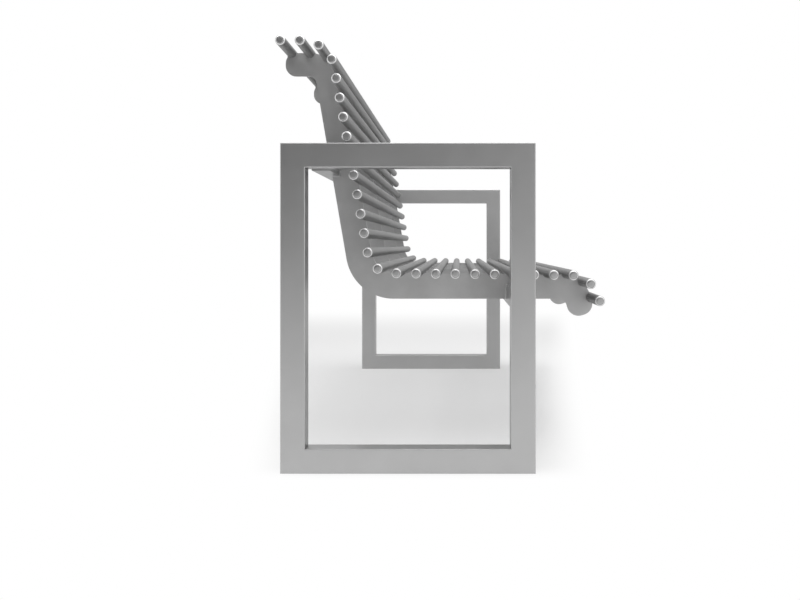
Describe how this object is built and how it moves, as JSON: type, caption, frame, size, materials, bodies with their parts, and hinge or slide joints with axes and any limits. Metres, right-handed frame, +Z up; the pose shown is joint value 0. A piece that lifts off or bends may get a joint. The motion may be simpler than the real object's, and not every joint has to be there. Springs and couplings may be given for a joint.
{
  "type": "park bench",
  "caption": "Park bench with a seat and rolled-over back of long round steel tubes, notched into cut ribs on two beams between square-tube end frames with arm rails.",
  "frame": {"origin": "on the ground, midway between the end frames and midway between the front and rear posts", "axes": "+X along the bench to the sitter's left, +Y to the back, +Z up; the front of the seat faces -Y"},
  "size_m": [1.8, 0.6861, 0.8964],
  "materials": {
    "frame": "satin silver-grey coating",
    "ribs": "satin silver-grey coating",
    "slat_tubes": "satin silver-grey coating",
    "tube_plugs": "satin silver-grey coating",
    "screws": "plain stainless steel",
    "bare_steel": "plain steel"
  },
  "bodies": {
    "root": {"anchor_nuts": "bare_steel", "beam_screws": "screws", "front_beam": "frame", "left_arm_rail": "frame", "left_foot_rail": "frame", "left_front_post": "frame", "left_front_spigot": "bare_steel", "left_inner_rib": "ribs", "left_outer_rib": "ribs", "left_rear_post": "frame", "left_rear_spigot": "bare_steel", "left_tube_plugs": "tube_plugs", "rear_beam": "frame", "right_arm_rail": "frame", "right_foot_rail": "frame", "right_front_post": "frame", "right_front_spigot": "bare_steel", "right_inner_rib": "ribs", "right_outer_rib": "ribs", "right_rear_post": "frame", "right_rear_spigot": "bare_steel", "right_tube_plugs": "tube_plugs", "slat_tube_01": "slat_tubes", "slat_tube_02": "slat_tubes", "slat_tube_03": "slat_tubes", "slat_tube_04": "slat_tubes", "slat_tube_05": "slat_tubes", "slat_tube_06": "slat_tubes", "slat_tube_07": "slat_tubes", "slat_tube_08": "slat_tubes", "slat_tube_09": "slat_tubes", "slat_tube_10": "slat_tubes", "slat_tube_11": "slat_tubes", "slat_tube_12": "slat_tubes", "slat_tube_13": "slat_tubes", "slat_tube_14": "slat_tubes", "slat_tube_15": "slat_tubes", "slat_tube_16": "slat_tubes", "slat_tube_17": "slat_tubes", "slat_tube_18": "slat_tubes", "slat_tube_19": "slat_tubes", "slat_tube_20": "slat_tubes", "slat_tube_21": "slat_tubes", "slat_tube_22": "slat_tubes", "slat_tube_23": "slat_tubes", "slat_tube_24": "slat_tubes", "slat_tube_25": "slat_tubes", "slat_tube_26": "slat_tubes", "slat_tube_27": "slat_tubes"}
  },
  "joints": []
}
